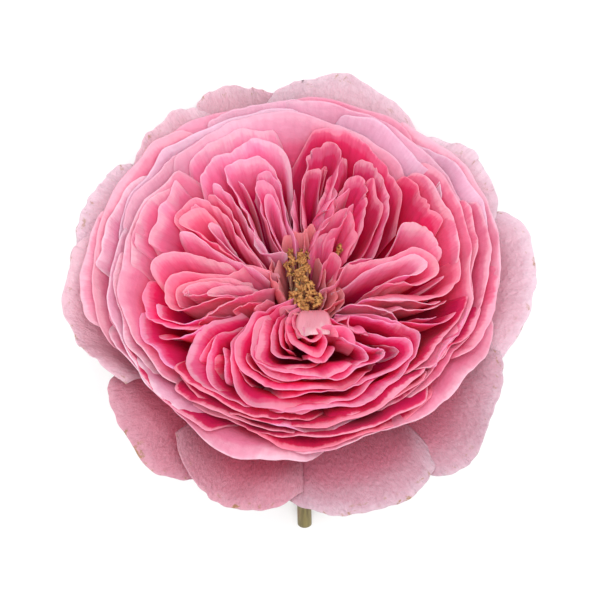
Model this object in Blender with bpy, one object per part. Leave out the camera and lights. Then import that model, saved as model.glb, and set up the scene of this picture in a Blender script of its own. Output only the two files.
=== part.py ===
"""A cut garden rose: one fully double, quartered flower on a short stem, lying on a surface.

The flower is laid out in its own head frame first, in millimetres: the origin is on the flower's
axis at the level of the hip's rim, +z runs along the axis to the open face and the near side of
the flower is -y. Every petal is a patch of one family of nested cups: a petal follows its own
outline in plan, and the cups never meet, so neither do the petals. The finished head is then
turned onto the outer petals that it rests on, and moved so that its lowest point is at z = 0.
"""

import math

import bpy
import numpy as np
from mathutils import Matrix

MM = 0.001

# Hip and its dome, which carries the petals.
DOME_RADIUS = 9.0
DOME_HEIGHT = 6.5
HIP_DEPTH = 14.0
SEAT_GAP = 0.3

# Cup family: where a petal of plan radius r starts on the dome and where its edge ends.
PLAN_INNER = 4.0
PLAN_OUTER = 60.0
EDGE_HEIGHT = (
    (0, 19), (4, 20), (8, 22.5), (15, 28), (25, 33), (33, 34.5), (40, 33), (45, 31), (50, 26), (55, 20), (60, 15)
)
SIDE_TILT = 4.0  # the outer petals stand higher on the far side and hang lower on the near side
PETAL_THICKNESS = 0.4
CLAW_THICKNESS = 0.12

# Stem.
STEM_RADIUS = 1.9
STEM_LENGTH = 62.0
STEM_BEND = math.radians(24)

# The tuft of stamens is squeezed by the petals into an oval: its heads spread this much in x and y.
TUFT_SHAPE = np.array([1.0, 1.9, 1.0])

# Attitude at rest: the axis of the flower leans back from the vertical, and rolls a little. The
# outer petals that touch the surface give way: what would lie under it is flattened against it.
REST_LEAN = math.radians(54.2)
REST_ROLL = math.radians(3.0)
FLATTENED = 0.3  # share of the depth under the surface that is left

# Each petal: its name, its outline in plan as (angle in degrees, radius in mm), how far its
# shoulders drop, and where along the outline its claw is.
GUARDS = (
    ("guard_left", ((166, 49.8), (174, 51.5), (184, 52.7), (195, 52), (206, 50.2), (215, 49.2)), 0.05, 0.5),
    ("guard_lower_left", ((207, 52), (218, 52.3), (230, 53.6), (240, 54.4), (247, 55)), 0.13, 0.5),
    ("guard_bottom_left", ((233, 51), (243, 52.6), (253, 54.2), (262, 54), (271, 53.2)), 0.10, 0.5),
    ("guard_bottom_right", ((265, 55), (275, 54.6), (286, 55), (297, 55.3), (308, 54.4)), 0.12, 0.55),
    ("guard_lower_right", ((301, 56.6), (309, 56), (317, 54.8), (326, 52), (334, 49.6), (340, 48.6)), 0.10, 0.5),
    ("guard_right", ((331, 52.5), (341, 51), (352, 51), (363, 52.5), (372, 53.3), (381, 53.2), (387, 53)), 0.12, 0.5),
    ("guard_upper_right", ((16, 50.3), (25, 49.3), (36, 48.6), (47, 47.3), (57, 46.6)), 0.12, 0.5),
    ("guard_top", ((49, 50), (60, 50.3), (72, 51.2), (86, 51.6), (97, 51.2), (105, 50.6)), 0.15, 0.5),
    ("guard_top_left", ((95, 53.4), (103, 52.8), (112, 52.2), (122, 52)), 0.07, 0.5),
    ("guard_upper_left", ((110, 48.8), (119, 49.8), (128, 50.2), (137, 49.4), (147, 48.4)), 0.06, 0.5),
    ("guard_left_upper", ((139, 51.8), (149, 51), (158, 51), (167, 52.6), (175, 54.6)), 0.13, 0.45),
)
# Rings of broad petals inside the guards: name, radius, first angle, number, width in degrees.
RINGS = (
    ("ring_outer", 45.6, 20, 5, 88),
    ("ring_middle", 42.15, 56, 5, 88),
    ("ring_inner", 38.8, 0, 4, 104),
)
RING_CENTRE = (-0.7, -2.8)
RING_TUCK = 1.1  # one edge of a ring petal lies this far inside its row, the other as far outside

FOLDS = (
    ("fold_left_loop", ((172, 9), (180, 15), (186, 22), (189, 29), (198, 33), (206, 31), (207.5, 24), (206, 16)),
     0.06, 0.55),
    ("fold_left_inner", ((192, 14), (193, 18), (195, 25), (199, 28.5), (202, 25), (201, 18)), 0.06, 0.5),
    ("fold_left_outer", ((184, 36), (194, 36.5), (205, 36.5), (215, 34), (220, 29), (219, 23)), 0.06, 0.4),
    ("fold_upper_left", ((150, 10), (148, 16), (145, 23), (147, 29), (154, 31.5), (162, 31), (168, 29)), 0.06, 0.55),
    ("fold_upper_left_inner", ((169, 15), (167, 20), (166, 25), (162, 28), (156, 26.5), (154, 21)), 0.06, 0.55),
    ("fold_upper_left_outer", ((140, 34.4), (152, 34.2), (165, 34), (178, 35.5)), 0.08, 0.5),
    ("fold_top_outer", ((143, 31.5), (136, 32.5), (125, 33), (112, 31.5), (102, 30), (97, 27), (95, 21)), 0.06, 0.45),
    ("fold_top_loop", ((133, 11), (133, 16), (132, 22), (131, 27), (126, 30), (117, 29.5), (108, 27.5), (102, 23),
     (97, 17)), 0.06, 0.5),
    ("fold_top_inner", ((126, 12), (126, 15.5), (124, 20), (118, 22.5), (110, 21), (107, 16)), 0.06, 0.5),
    ("fold_upper_right_loop", ((87, 15), (88, 23), (86, 28), (78, 30), (72, 28), (71, 22), (72, 15)), 0.06, 0.5),
    ("fold_upper_right_mid", ((64, 17), (63, 22), (58, 24), (52, 22.5), (44, 20), (34, 18), (24, 16)), 0.06, 0.4),
    ("fold_upper_right_wide", ((64, 26), (60, 29.5), (50, 28.5), (40, 27), (30, 24), (20, 21)), 0.06, 0.4),
    ("fold_upper_right_outer", ((94, 32.6), (82, 33), (68, 32.5), (56, 32), (44, 31.5), (34, 30), (26, 28)), 0.06, 0.5),
    ("fold_right_edge", ((10, 22.5), (18, 24.5), (20, 27.5), (14, 29.5), (6, 31.5), (356, 33)), 0.06, 0.55),
    ("fold_right_loop", ((8, 7), (8, 13), (5, 20), (3, 26), (357, 30), (349, 30), (345, 25), (344, 19)), 0.06, 0.55),
    ("fold_right_low", ((330, 15), (336, 22), (340, 27), (343, 33), (350, 35.5), (358, 35.5), (4, 35)), 0.06, 0.6),
    ("fold_right_outer", ((46, 33.4), (36, 33.3), (26, 32.8), (16, 33.3), (9, 35)), 0.06, 0.5),
    ("fold_lower_right_loop", ((316, 15), (320, 22), (325, 28), (326, 33), (320, 36), (311, 37.4), (301, 38.2),
     (291, 38.2), (282, 38.2)), 0.06, 0.55),
    ("fold_lower_right_mid", ((306, 20), (313, 26), (318, 31), (315, 34.3), (307, 35.8), (298, 35.6), (289, 35.5),
     (281, 35.5)), 0.06, 0.55),
    ("fold_lower_right_inner", ((298, 21), (305, 25.5), (310, 29.5), (306, 32.3), (298, 32), (289, 32)), 0.06, 0.5),
    ("fold_lower_right_edge", ((330, 24.5), (334, 30), (339, 34), (345, 36.3)), 0.06, 0.6),
    ("fold_bottom_wide", ((224, 19), (230, 22.5), (235, 27), (240.5, 32), (248, 36.5), (257, 37.5), (267, 37.5),
     (276, 37), (284, 37)), 0.06, 0.55),
    ("fold_bottom_second", ((229, 8), (227, 15), (233, 20), (239, 26), (246, 31), (254, 34), (263, 34.5),
     (272, 34), (280, 33.8)), 0.06, 0.6),
    ("fold_bottom_third", ((243, 8), (237.5, 16), (242, 22), (248, 27), (256, 30), (265, 30.5), (274, 30.5),
     (283, 30.3)), 0.06, 0.6),
    ("fold_lower_left", ((220.5, 20.5), (223, 27), (225, 33), (230, 37), (238, 38.6), (248, 39.6), (258, 40)),
     0.06, 0.5),
    ("fold_bottom_heart", ((262, 8), (259, 13), (262, 18), (270, 23), (279, 25.5), (287, 23.5), (290, 17)), 0.06, 0.5),
)


def smooth(x):
    x = np.clip(x, 0.0, 1.0)
    return x * x * (3 - 2 * x)


def cup(r, phi, t):
    """Point at height fraction t (0 on the dome, 1 at the edge) of the cup of plan radius r, in mm."""
    share = np.clip((r - PLAN_INNER) / (PLAN_OUTER - PLAN_INNER), 0, 1.12)
    psi = np.radians(12 + 74 * share**0.9)
    start_r = (DOME_RADIUS + SEAT_GAP) * np.sin(psi)
    start_z = (DOME_HEIGHT + SEAT_GAP) * np.cos(psi)
    radii, heights = zip(*EDGE_HEIGHT)
    edge_z = np.interp(r, radii, heights) + SIDE_TILT * np.sin(phi) * smooth((r - 46) / 8)
    out = np.maximum(t, 1e-6) ** 0.8
    steep = 1.25 + 0.95 * smooth((r - 8) / 34)
    rho = start_r + (r - start_r) * out + 2.4 * smooth((r - 30) / 18) * t**8
    z = start_z + (edge_z - start_z) * out**steep - 1.0 * smooth((r - 34) / 14) * t**12
    z = z + (0.7 * np.sin(5 * phi + 1) + 0.5 * np.sin(8 * phi + 2.5)) * (rho / 50) ** 2
    return np.stack([rho * np.cos(phi), rho * np.sin(phi), z], -1)


def outline(points, count):
    """Evenly spaced points of a smooth curve through the given (angle, radius) points, as (r, phi)."""
    angles = np.unwrap(np.radians([a for a, _ in points]))
    radii = np.array([r for _, r in points], float)
    knots = np.stack([radii * np.cos(angles), radii * np.sin(angles)], -1)
    ends = np.vstack([2 * knots[0] - knots[1], knots, 2 * knots[-1] - knots[-2]])
    dense = []
    for i in range(1, len(ends) - 2):
        t = np.linspace(0, 1, 24, endpoint=False)[:, None]
        a, b, c, d = ends[i - 1 : i + 3]
        dense.append(
            0.5 * (2 * b + (c - a) * t + (2 * a - 5 * b + 4 * c - d) * t**2 + (3 * b - a - 3 * c + d) * t**3)
        )
    dense = np.vstack(dense + [knots[-1:]])
    steps = np.concatenate([[0], np.cumsum(np.linalg.norm(np.diff(dense, axis=0), axis=1))])
    at = np.linspace(0, steps[-1], count)
    x, y = np.interp(at, steps, dense[:, 0]), np.interp(at, steps, dense[:, 1])
    return np.hypot(x, y), np.unwrap(np.arctan2(y, x))


def petal_surface(points, drop, claw, across, along):
    """Grid of points of a petal, claw to edge, in the head frame."""
    radii, angles = outline(points, 400)
    u = np.linspace(-1, 1, across + 1)[None, :]
    v = np.linspace(0, 1, along + 1)[:, None]
    spread = 0.18 + 0.82 * np.sin(np.minimum(v / 0.7, 1) * np.pi / 2)
    s = claw + spread * np.where(u < 0, u * claw, u * (1 - claw))
    t = v * (1 - drop * np.abs(u) ** 3)
    at = np.clip(s, 0, 1) * (len(radii) - 1)
    index = np.arange(len(radii))
    return cup(np.interp(at, index, radii), np.interp(at, index, angles), t * np.ones_like(s))


def sheet(grid, thickness):
    """Closed sheet around a grid of points: vertices and faces. thickness holds one value per row."""
    rows, columns = grid.shape[:2]
    normal = np.cross(np.gradient(grid, axis=1), np.gradient(grid, axis=0))
    normal /= np.linalg.norm(normal, axis=-1, keepdims=True)
    half = 0.5 * np.asarray(thickness).reshape(-1, 1, 1) * normal
    points = np.concatenate([(grid + half).reshape(-1, 3), (grid - half).reshape(-1, 3)])
    count = rows * columns
    faces = []
    for j in range(rows - 1):
        for i in range(columns - 1):
            a, b = j * columns + i, j * columns + i + 1
            c, d = b + columns, a + columns
            faces += [(a, b, c, d), (count + d, count + c, count + b, count + a)]
    ring = [i for i in range(columns)]
    ring += [j * columns + columns - 1 for j in range(1, rows)]
    ring += [(rows - 1) * columns + i for i in range(columns - 2, -1, -1)]
    ring += [j * columns for j in range(rows - 2, 0, -1)]
    for a, b in zip(ring, ring[1:] + ring[:1]):
        faces.append((b, a, count + a, count + b))
    return points, faces


def tube(centres, radii, sides, squash=None):
    """Closed body around a line of centres, with a flat cap at each end."""
    centres = np.asarray(centres, float)
    along = np.gradient(centres, axis=0)
    along /= np.linalg.norm(along, axis=1, keepdims=True)
    side = np.cross(along, (1.0, 0.0, 0.0))
    side /= np.linalg.norm(side, axis=1, keepdims=True)
    other = np.cross(along, side)
    turn = np.linspace(0, 2 * np.pi, sides, endpoint=False)
    lobes = np.ones(sides) if squash is None else 1 + squash * np.cos(5 * turn)
    points = []
    for c, s, o, r in zip(centres, side, other, radii):
        points += [c + r * k * (math.cos(a) * s + math.sin(a) * o) for a, k in zip(turn, lobes)]
    faces = [tuple(range(sides - 1, -1, -1)), tuple(range(len(points) - sides, len(points)))]
    for j in range(len(centres) - 1):
        for i in range(sides):
            a, b = j * sides + i, j * sides + (i + 1) % sides
            faces.append((a, b, b + sides, a + sides))
    return np.array(points), faces


def lathe(profile, sides, flute=0.0):
    """Closed body of revolution about z; the profile runs from the lower pole to the upper one."""
    turn = np.linspace(0, 2 * np.pi, sides, endpoint=False)
    points = [(0, 0, profile[0][1])]
    for r, z in profile[1:-1]:
        points += [(r * (1 + flute * math.cos(5 * a)) * math.cos(a),
                    r * (1 + flute * math.cos(5 * a)) * math.sin(a), z) for a in turn]
    points.append((0, 0, profile[-1][1]))
    last = len(points) - 1
    faces = []
    for i in range(sides):
        n = (i + 1) % sides
        faces.append((0, 1 + n, 1 + i))
        faces.append((last, last - sides + i, last - sides + n))
        for j in range(len(profile) - 3):
            a = 1 + j * sides
            faces.append((a + i, a + n, a + sides + n, a + sides + i))
    return np.array(points, float), faces


def material(name, colour, roughness):
    made = bpy.data.materials.new(name)
    made.use_nodes = True
    shader = made.node_tree.nodes["Principled BSDF"]
    shader.inputs["Base Color"].default_value = (*colour, 1)
    shader.inputs["Roughness"].default_value = roughness
    made.diffuse_color = (*colour, 1)
    return made


def add(name, body, finish):
    points, faces = body
    mesh = bpy.data.meshes.new(name)
    mesh.from_pydata([tuple(float(c) * MM for c in p) for p in points], [], faces)
    mesh.materials.append(finish)
    mesh.polygons.foreach_set("use_smooth", [True] * len(mesh.polygons))
    mesh.update()
    made = bpy.data.objects.new(name, mesh)
    bpy.context.scene.collection.objects.link(made)
    return made


def ring_outline(radius, centre_angle, width):
    """Outline of a ring petal: an arc about the ring's own centre, one edge tucked in, one out."""
    points = []
    for k in np.linspace(-1, 1, 5):
        a = math.radians(centre_angle + k * width / 2)
        x = (radius + RING_TUCK * k) * math.cos(a) + RING_CENTRE[0]
        y = (radius + RING_TUCK * k) * math.sin(a) + RING_CENTRE[1]
        points.append((math.degrees(math.atan2(y, x)), math.hypot(x, y)))
    return points


def rest_turn():
    """Rotation from the head frame to the attitude at rest."""
    lean, roll = -REST_LEAN, REST_ROLL
    about_x = np.array([[1, 0, 0], [0, math.cos(lean), -math.sin(lean)], [0, math.sin(lean), math.cos(lean)]])
    about_y = np.array([[math.cos(roll), 0, math.sin(roll)], [0, 1, 0], [-math.sin(roll), 0, math.cos(roll)]])
    return about_y @ about_x


def flattened(points, floor):
    """Head-frame points with what lies under the floor pressed up against it."""
    turned = points @ rest_turn().T
    depth = turned[..., 2] - floor - 0.6
    turned[..., 2] += (1 - FLATTENED) * 0.5 * (np.sqrt(depth**2 + 0.5) - depth)
    return turned @ rest_turn()


def petal(points, drop, claw, across, along, floor):
    grid = flattened(petal_surface(points, drop, claw, across, along), floor)
    v = np.linspace(0, 1, along + 1)
    return sheet(grid, CLAW_THICKNESS + (PETAL_THICKNESS - CLAW_THICKNESS) * smooth(v / 0.45))


def stem_line(count):
    """Centre line of the stem, from under the hip: straight at first, then leaning to the near side."""
    points, at = [], np.array([0.0, 0.0, -HIP_DEPTH - SEAT_GAP])
    step = STEM_LENGTH / (count - 1)
    for i in range(count):
        points.append(at.copy())
        lean = STEM_BEND * smooth(i * step / 14)
        at = at + step * np.array([0.02, -math.sin(lean), -math.cos(lean)])
    return points


def sepal(angle):
    """A pointed sepal that springs from under the hip's rim and folds back towards the stem."""
    along, across = 7, 4
    grid = np.zeros((along + 1, across + 1, 3))
    for j in range(along + 1):
        v = j / along
        radial = 8.6 + 13.8 * v - 4.5 * v**2.5
        height = -2.2 - 2.0 * v - 15.5 * v**2
        half = 3.6 * (1 - v) ** 0.7 * (1 + 1.1 * v) * (0.75 + 0.25 * smooth(v / 0.3)) + 0.12
        for i in range(across + 1):
            w = half * (2 * i / across - 1)
            bow = 0.06 * w * w
            x, y = radial + bow, w
            grid[j, i] = (x * math.cos(angle) - y * math.sin(angle), x * math.sin(angle) + y * math.cos(angle),
                          height + bow * 0.4)
    return sheet(grid, np.linspace(0.7, 0.3, along + 1))


def stamens():
    """The ring of stamens: a low collar with filaments that spread upwards, each with its anther."""
    rows = ((0.9, 6.95), (1.55, 6.85), (1.6, 7.5), (0.9, 7.7))
    count = 24
    points, faces = [], []
    for k in range(count):
        a = 2 * math.pi * k / count
        points += [(r * math.cos(a), r * math.sin(a), z) for r, z in rows]
    for k in range(count):
        a, b = 4 * k, 4 * ((k + 1) % count)
        for i in range(4):
            j = (i + 1) % 4
            if i != 2:
                faces.append((a + i, a + j, b + j, b + i))
        if k % 2:
            faces.append((a + 2, a + 3, b + 3, b + 2))
            continue
        # A filament rises from this piece of the collar and carries an anther.
        middle = math.pi * (2 * k + 1) / count
        outward = np.array([math.cos(middle), math.sin(middle), 0])
        sideways = np.array([-math.sin(middle), math.cos(middle), 0])
        up = np.array([0.0, 0.0, 1.0])
        reach = 2.6 + 0.7 * math.sin(2.3 * k)
        tall = 19.5 + 1.8 * math.sin(1.7 * k)
        below = [a + 2, a + 3, b + 3, b + 2]
        for share, size in ((0.45, 0.16), (0.9, 0.13), (0.93, 0.42), (0.98, 0.45), (1.0, 0.2)):
            out = 1.3 + (reach - 1.3) * share**1.3
            centre = outward * out * TUFT_SHAPE + up * (7.5 + (tall - 7.5) * share)
            here = len(points)
            for o, s in ((1, -1), (-1, -1), (-1, 1), (1, 1)):
                points.append(tuple(centre + 0.6 * size * o * outward + size * s * sideways))
            above = [here, here + 1, here + 2, here + 3]
            for i in range(4):
                j = (i + 1) % 4
                faces.append((below[i], below[j], above[j], above[i]))
            below = above
        faces.append(tuple(below))
    return np.array(points, float), [face[::-1] for face in faces]


for old in list(bpy.data.objects):
    bpy.data.objects.remove(old)

guard_pink = material("petal_guard", (0.80, 0.47, 0.55), 0.6)
ring_pink = material("petal_ring", (0.84, 0.34, 0.45), 0.6)
heart_pink = material("petal_heart", (0.78, 0.20, 0.32), 0.6)
sepal_green = material("sepal_green", (0.20, 0.30, 0.10), 0.65)
hip_green = material("hip_green", (0.24, 0.33, 0.13), 0.5)
stem_green = material("stem_green", (0.21, 0.23, 0.09), 0.55)
stamen_gold = material("stamen_gold", (0.45, 0.24, 0.07), 0.7)
style_green = material("style_green", (0.42, 0.36, 0.15), 0.6)

parts = []
stem_radii = STEM_RADIUS * (1 + 0.2 * (1 - smooth(np.linspace(0, 1, 14) / 0.15)))
stem_body = tube(stem_line(14), stem_radii, 14)
floor = (stem_body[0] @ rest_turn().T)[:, 2].min()
parts.append(add("stem", stem_body, stem_green))
for name, points, drop, claw in GUARDS:
    parts.append(add(name, petal(points, drop, claw, 8, 5, floor), guard_pink))
for row, radius, first, number, width in RINGS:
    for k in range(number):
        points = ring_outline(radius, first + 360 * k / number, width)
        parts.append(add(f"{row}_{k + 1}", petal(points, 0.07, 0.5, 10, 5, floor), ring_pink))
for name, points, drop, claw in FOLDS:
    parts.append(add(name, petal(points, drop, claw, 10, 5, floor), heart_pink))

dome = [(DOME_RADIUS * math.sin(a), DOME_HEIGHT * math.cos(a)) for a in np.linspace(math.pi / 2, 0, 9)]
flask = [(0, -HIP_DEPTH), (2.3, -HIP_DEPTH), (3.2, -12.8), (5.2, -10.5), (6.6, -7.5), (7.3, -4.5), (8.4, -1.8)]
parts.append(add("hip", lathe(flask + dome, 30), hip_green))
for k in range(5):
    parts.append(add(f"sepal_{k + 1}", sepal(math.radians(54 + 72 * k)), sepal_green))
parts.append(add("stamens", stamens(), stamen_gold))
column = [(0, 6.8), (0.45, 6.8), (0.5, 10), (0.45, 14.5), (0.7, 16), (0.65, 16.8), (0, 17.2)]
parts.append(add("styles", lathe(column, 10, 0.2), style_green))

turn = Matrix(rest_turn().tolist()).to_4x4()
corners = []
for part in parts:
    part.data.transform(turn)
    corners += [v.co for v in part.data.vertices]
low = [min(c[i] for c in corners) for i in range(3)]
high = [max(c[i] for c in corners) for i in range(3)]
shift = Matrix.Translation((-(low[0] + high[0]) / 2, -(low[1] + high[1]) / 2, -low[2]))
for part in parts:
    part.data.transform(shift)
    part.data.update()
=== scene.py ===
import math

import bpy
import numpy as np
from mathutils import Matrix, Vector


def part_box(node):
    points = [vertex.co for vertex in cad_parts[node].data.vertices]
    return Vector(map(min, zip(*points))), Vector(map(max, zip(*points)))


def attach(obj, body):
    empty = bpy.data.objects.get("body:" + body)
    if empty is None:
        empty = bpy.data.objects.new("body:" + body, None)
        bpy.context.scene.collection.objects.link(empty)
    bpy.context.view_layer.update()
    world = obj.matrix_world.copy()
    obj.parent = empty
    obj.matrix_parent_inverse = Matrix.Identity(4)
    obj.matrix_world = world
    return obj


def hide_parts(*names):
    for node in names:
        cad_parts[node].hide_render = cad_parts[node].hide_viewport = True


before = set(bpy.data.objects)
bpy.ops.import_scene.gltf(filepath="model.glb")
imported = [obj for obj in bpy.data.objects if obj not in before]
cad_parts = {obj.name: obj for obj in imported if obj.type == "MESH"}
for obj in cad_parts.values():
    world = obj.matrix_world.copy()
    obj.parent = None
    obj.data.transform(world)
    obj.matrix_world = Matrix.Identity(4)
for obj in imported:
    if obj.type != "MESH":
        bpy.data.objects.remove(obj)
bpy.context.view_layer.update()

# A cut rose, lying on a surface. Lengths are in millimetres in the head's own frame, where z is the
# flower's axis and -y its near side, unless a comment says otherwise.
MM = 0.001

# Hip and its dome, which carries the petals.
DOME_RADIUS = 9.0
DOME_HEIGHT = 6.5
HIP_DEPTH = 14.0
SEAT_GAP = 0.3

# Cup family: a petal's claw moves out over the dome between these plan radii, and its edge is as
# high as this, in (plan radius, height) points.
PLAN_INNER = 4.0
PLAN_OUTER = 60.0
EDGE_HEIGHT = (
    (0, 19), (4, 20), (8, 22.5), (15, 28), (25, 33), (33, 34.5), (40, 33), (45, 31), (50, 26), (55, 20),
    (60, 15),
)
SIDE_TILT = 4.0  # the outer petals stand higher on the far side and hang lower on the near side

# Petals.
PETAL_THICKNESS = 0.26
CLAW_THICKNESS = 0.12
SPACING = 0.5  # between the points of an outline
# The deepening is partly the petals' own colour and partly painted shade for the crevices between them.
FADE = 24.0  # distance from the rim over which a petal deepens to its claw's colour

# Stem.
STEM_RADIUS = 1.9
STEM_LENGTH = 62.0
STEM_BEND = math.radians(24)
STEM_CURVE = 14.0  # length under the hip over which it bends

# Attitude at rest: the axis of the flower leans back from the vertical, and rolls a little. The
# outer petals that touch the surface give way: what would lie under it is flattened against it.
REST_LEAN = math.radians(54.2)
REST_ROLL = math.radians(3.0)
FLATTENED = 0.3  # share of the depth under the surface that is left
GIVES_WAY = 0.6  # height above the surface at which a petal starts to be flattened

# Each petal: its name, its outline in plan as (angle in degrees, radius), how far its shoulders
# drop, and where along the outline its claw is.
GUARDS = (
    ("left", ((166, 49.8), (174, 51.5), (184, 52.7), (195, 52), (206, 50.2), (215, 49.2)), 0.05, 0.5),
    ("lower_left", ((207, 52), (218, 52.3), (230, 53.6), (240, 54.4), (247, 55)), 0.13, 0.5),
    ("bottom_left", ((233, 51), (243, 52.6), (253, 54.2), (262, 54), (271, 53.2)), 0.10, 0.5),
    ("bottom_right", ((265, 55), (275, 54.6), (286, 55), (297, 55.3), (308, 54.4)), 0.12, 0.55),
    ("lower_right", ((301, 56.6), (309, 56), (317, 54.8), (326, 52), (334, 49.6), (340, 48.6)), 0.10, 0.5),
    ("right", ((331, 52.5), (341, 51), (352, 51), (363, 52.5), (372, 53.3), (381, 53.2), (387, 53)),
     0.12, 0.5),
    ("upper_right", ((16, 50.3), (25, 49.3), (36, 48.6), (47, 47.3), (57, 46.6)), 0.12, 0.5),
    ("top", ((49, 50), (60, 50.3), (72, 51.2), (86, 51.6), (97, 51.2), (105, 50.6)), 0.15, 0.5),
    ("top_left", ((95, 53.4), (103, 52.8), (112, 52.2), (122, 52)), 0.07, 0.5),
    ("upper_left", ((110, 48.8), (119, 49.8), (128, 50.2), (137, 49.4), (147, 48.4)), 0.06, 0.5),
    ("left_upper", ((139, 51.8), (149, 51), (158, 51), (167, 52.6), (175, 54.6)), 0.13, 0.45),
)
# Rings of broad petals inside the guards: name, radius, first angle, number, width in degrees.
RINGS = (
    ("ring_outer", 45.6, 20, 5, 88),
    ("ring_middle", 42.15, 56, 5, 88),
    ("ring_inner", 38.8, 0, 4, 104),
)
RING_CENTRE = (-0.7, -2.8)
# Folds that fill the heart, as the first petals are given.
FOLDS = (
    ("left_loop", ((172, 9), (180, 15), (186, 22), (189, 29), (198, 33), (206, 31), (207.5, 24), (206, 16)),
     0.06, 0.55),
    ("left_inner", ((192, 14), (193, 18), (195, 25), (199, 28.5), (202, 25), (201, 18)), 0.06, 0.5),
    ("left_outer", ((184, 36), (194, 36.5), (205, 36.5), (215, 34), (220, 29), (219, 23)), 0.06, 0.4),
    ("upper_left", ((150, 10), (148, 16), (145, 23), (147, 29), (154, 31.5), (162, 31), (168, 29)),
     0.06, 0.55),
    ("upper_left_inner", ((169, 15), (167, 20), (166, 25), (162, 28), (156, 26.5), (154, 21)), 0.06, 0.55),
    ("upper_left_outer", ((140, 34.4), (152, 34.2), (165, 34), (178, 35.5)), 0.08, 0.5),
    ("top_outer", ((143, 31.5), (136, 32.5), (125, 33), (112, 31.5), (102, 30), (97, 27), (95, 21)),
     0.06, 0.45),
    ("top_loop", ((133, 11), (133, 16), (132, 22), (131, 27), (126, 30), (117, 29.5), (108, 27.5), (102, 23),
     (97, 17)), 0.06, 0.5),
    ("top_inner", ((126, 12), (126, 15.5), (124, 20), (118, 22.5), (110, 21), (107, 16)), 0.06, 0.5),
    ("upper_right_loop", ((87, 15), (88, 23), (86, 28), (78, 30), (72, 28), (71, 22), (72, 15)), 0.06, 0.5),
    ("upper_right_mid", ((64, 17), (63, 22), (58, 24), (52, 22.5), (44, 20), (34, 18), (24, 16)), 0.06, 0.4),
    ("upper_right_wide", ((64, 26), (60, 29.5), (50, 28.5), (40, 27), (30, 24), (20, 21)), 0.06, 0.4),
    ("upper_right_outer", ((94, 32.6), (82, 33), (68, 32.5), (56, 32), (44, 31.5), (34, 30), (26, 28)),
     0.06, 0.5),
    ("right_edge", ((10, 22.5), (18, 24.5), (20, 27.5), (14, 29.5), (6, 31.5), (356, 33)), 0.06, 0.55),
    ("right_loop", ((8, 7), (8, 13), (5, 20), (3, 26), (357, 30), (349, 30), (345, 25), (344, 19)),
     0.06, 0.55),
    ("right_low", ((330, 15), (336, 22), (340, 27), (343, 33), (350, 35.5), (358, 35.5), (4, 35)), 0.06, 0.6),
    ("right_outer", ((46, 33.4), (36, 33.3), (26, 32.8), (16, 33.3), (9, 35)), 0.06, 0.5),
    ("lower_right_loop", ((316, 15), (320, 22), (325, 28), (326, 33), (320, 36), (311, 37.4), (301, 38.2),
     (291, 38.2), (282, 38.2)), 0.06, 0.55),
    ("lower_right_mid", ((306, 20), (313, 26), (318, 31), (315, 34.3), (307, 35.8), (298, 35.6), (289, 35.5),
     (281, 35.5)), 0.06, 0.55),
    ("lower_right_inner", ((298, 21), (305, 25.5), (310, 29.5), (306, 32.3), (298, 32), (289, 32)),
     0.06, 0.5),
    ("lower_right_edge", ((330, 24.5), (334, 30), (339, 34), (345, 36.3)), 0.06, 0.6),
    ("bottom_wide", ((224, 19), (230, 22.5), (235, 27), (240.5, 32), (248, 36.5), (257, 37.5), (267, 37.5),
     (276, 37), (284, 37)), 0.06, 0.55),
    ("bottom_second", ((229, 8), (227, 15), (233, 20), (239, 26), (246, 31), (254, 34), (263, 34.5),
     (272, 34), (280, 33.8)), 0.06, 0.6),
    ("bottom_third", ((243, 8), (237.5, 16), (242, 22), (248, 27), (256, 30), (265, 30.5), (274, 30.5),
     (283, 30.3)), 0.06, 0.6),
    ("lower_left", ((220.5, 20.5), (223, 27), (225, 33), (230, 37), (238, 38.6), (248, 39.6), (258, 40)),
     0.06, 0.5),
    ("bottom_heart", ((262, 8), (259, 13), (262, 18), (270, 23), (279, 25.5), (287, 23.5), (290, 17)),
     0.06, 0.5),
)

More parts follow.
